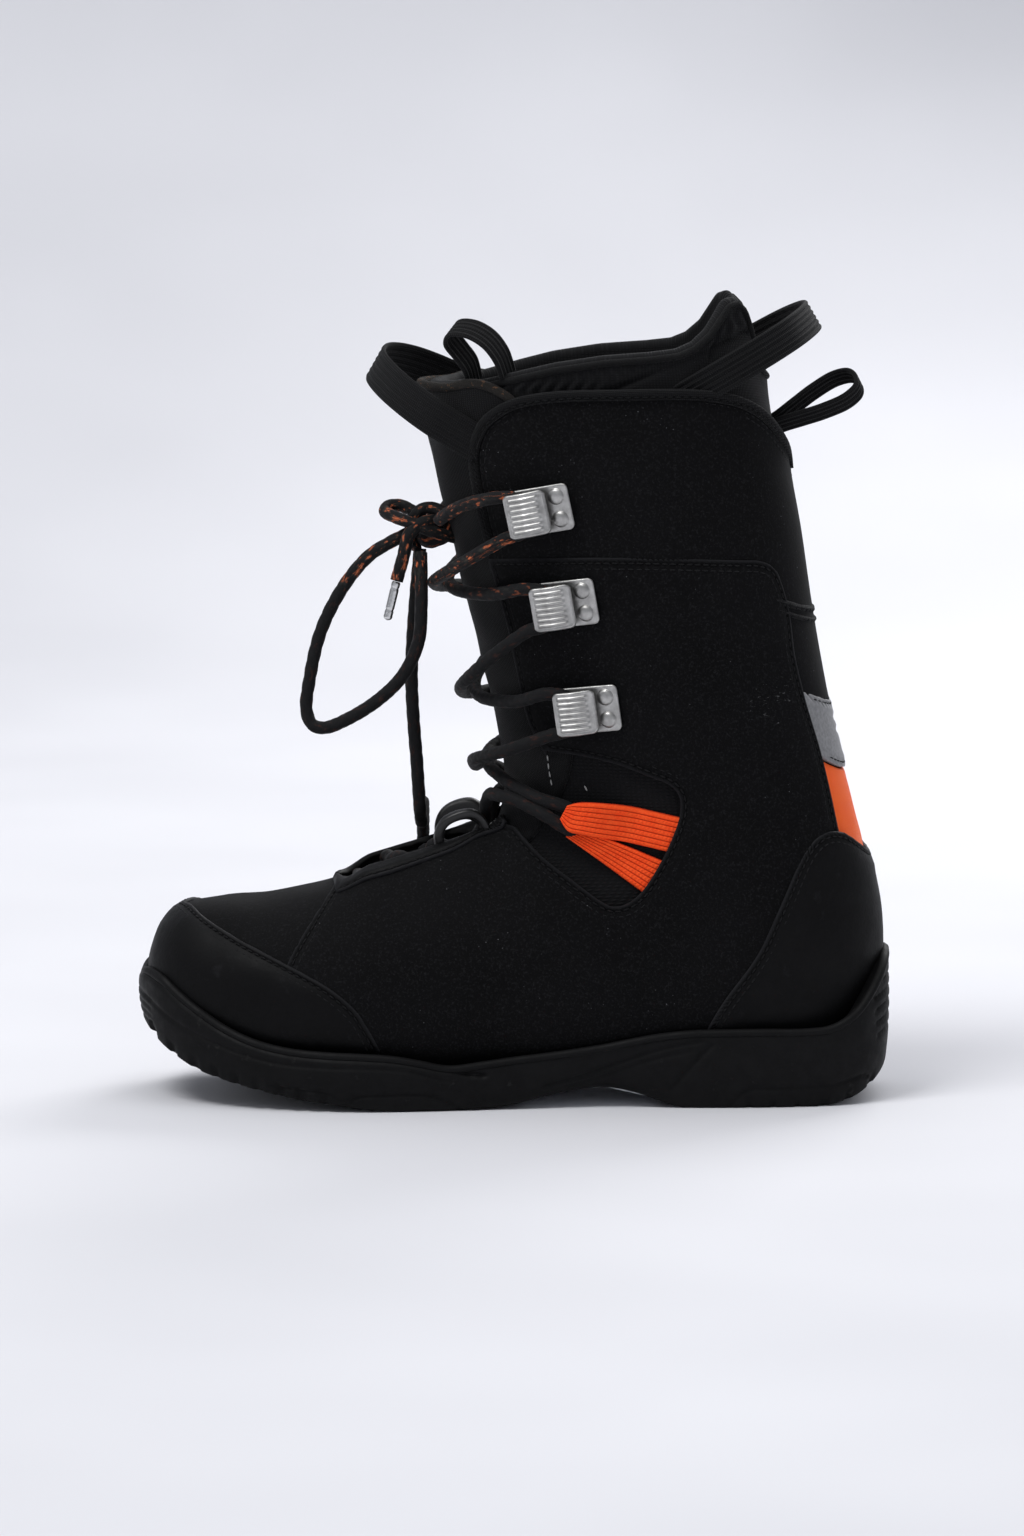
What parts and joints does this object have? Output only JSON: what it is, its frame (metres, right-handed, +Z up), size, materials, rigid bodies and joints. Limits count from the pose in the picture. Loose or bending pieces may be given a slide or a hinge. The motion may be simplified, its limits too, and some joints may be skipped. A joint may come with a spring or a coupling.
{
  "type": "snowboard boot",
  "caption": "Lace-up snowboard boot with a rubber cupsole, removable padded liner, open lace hooks, ankle harness and webbing pull loops.",
  "frame": {"origin": "on the ground, under the middle of the sole, centred side to side", "axes": "+Z up, toe towards -X, heel towards +X, outer (lateral) side of this left boot towards -Y"},
  "size_m": [0.3048, 0.1176, 0.3255],
  "materials": {
    "softshell": "matt brushed softshell",
    "smooth_leather": "smooth, slight sheen",
    "sole_rubber": "matt moulded rubber",
    "tread_rubber": "matt moulded rubber",
    "shank_plastic": "matt",
    "cushion_foam": "soft",
    "board": "fibre board",
    "tongue_fabric": "woven",
    "lining_fabric": "knitted",
    "liner_foam": "embossed foam-backed fabric",
    "footbed_foam": "knitted top",
    "orange_knit": "knitted webbing",
    "orange_satin": "satin",
    "grey_badge": "satin",
    "hook_steel": "satin",
    "aglet_metal": "polished",
    "webbing": "ribbed webbing",
    "lace_cord": "round braid",
    "guide_plastic": "satin"
  },
  "bodies": {
    "lower": {"midsole_cup": "sole_rubber", "outsole_toe_pad": "tread_rubber", "outsole_forefoot_pad": "tread_rubber", "outsole_heel_pad": "tread_rubber", "arch_shank": "shank_plastic", "heel_cushion": "cushion_foam", "lasting_board": "board", "toe_cap": "smooth_leather", "toe_box_panel": "softshell", "heel_counter": "smooth_leather", "quarter_lateral": "softshell", "quarter_medial": "softshell", "eyestay_lateral": "smooth_leather", "eyestay_medial": "smooth_leather", "tongue_lower": "tongue_fabric", "tongue_flex": "tongue_fabric", "lining_lower": "lining_fabric", "lining_flex": "lining_fabric", "liner_foot": "liner_foam", "liner_flex": "liner_foam", "footbed": "footbed_foam", "ankle_harness_lateral": "orange_knit", "ankle_harness_medial": "orange_knit", "lace_flex_lateral": "lace_cord", "lace_flex_medial": "lace_cord", "lace_lower_lateral": "lace_cord", "lace_lower_medial": "lace_cord", "lace_guide_lateral": "guide_plastic", "lace_guide_medial": "guide_plastic", "aglet_long": "aglet_metal"},
    "shaft": {"tongue_upper": "tongue_fabric", "shaft_panel_lateral": "softshell", "shaft_panel_medial": "softshell", "back_insert": "orange_satin", "back_badge": "grey_badge", "cuff_wrap": "softshell", "collar_binding": "smooth_leather", "lining_shaft": "lining_fabric", "liner_tongue": "liner_foam", "liner_shaft": "liner_foam", "lace_hook_lateral_top": "hook_steel", "lace_hook_lateral_middle": "hook_steel", "lace_hook_lateral_lower": "hook_steel", "lace_hook_medial_top": "hook_steel", "lace_hook_medial_middle": "hook_steel", "lace_hook_medial_lower": "hook_steel", "lace_upper_lateral": "lace_cord", "lace_upper_medial": "lace_cord", "lace_knot": "lace_cord", "lace_bow_loop": "lace_cord", "lace_long_strand": "lace_cord", "lace_short_strand": "lace_cord", "aglet_short": "aglet_metal"},
    "tongue_loop": {"tongue_pull_loop": "webbing"},
    "front_loop": {"liner_front_loop": "webbing"},
    "rear_loop": {"liner_rear_loop": "webbing"},
    "heel_loop": {"heel_pull_loop": "webbing"}
  },
  "joints": [
    {"name": "ankle_flex", "type": "hinge", "parent": "lower", "child": "shaft", "pos_m": [0.072, 0, 0.1], "axis": [0, -1, 0], "range_deg": [0, 10], "stiffness_Nm_per_rad": 40, "deforming": ["tongue_flex", "lining_flex", "liner_flex", "lace_flex_lateral", "lace_flex_medial", "lace_long_strand", "ankle_harness_lateral", "ankle_harness_medial", "lace_lower_lateral", "lace_lower_medial"]},
    {"name": "tongue_loop_swing", "type": "hinge", "parent": "shaft", "child": "tongue_loop", "pos_m": [-0.022, 0, 0.2776], "axis": [0, 1, 0], "range_deg": [-12, 1], "stiffness_Nm_per_rad": 0.03},
    {"name": "front_loop_swing", "type": "hinge", "parent": "shaft", "child": "front_loop", "pos_m": [-0.012, 0, 0.286], "axis": [0, 1, 0], "range_deg": [-12, 12], "stiffness_Nm_per_rad": 0.03},
    {"name": "rear_loop_swing", "type": "hinge", "parent": "shaft", "child": "rear_loop", "pos_m": [0.074, 0, 0.29], "axis": [0, -1, 0], "range_deg": [-8, 15], "stiffness_Nm_per_rad": 0.03},
    {"name": "heel_loop_swing", "type": "hinge", "parent": "shaft", "child": "heel_loop", "pos_m": [0.1075, 0, 0.272], "axis": [0, -1, 0], "range_deg": [-3, 18], "stiffness_Nm_per_rad": 0.03}
  ]
}
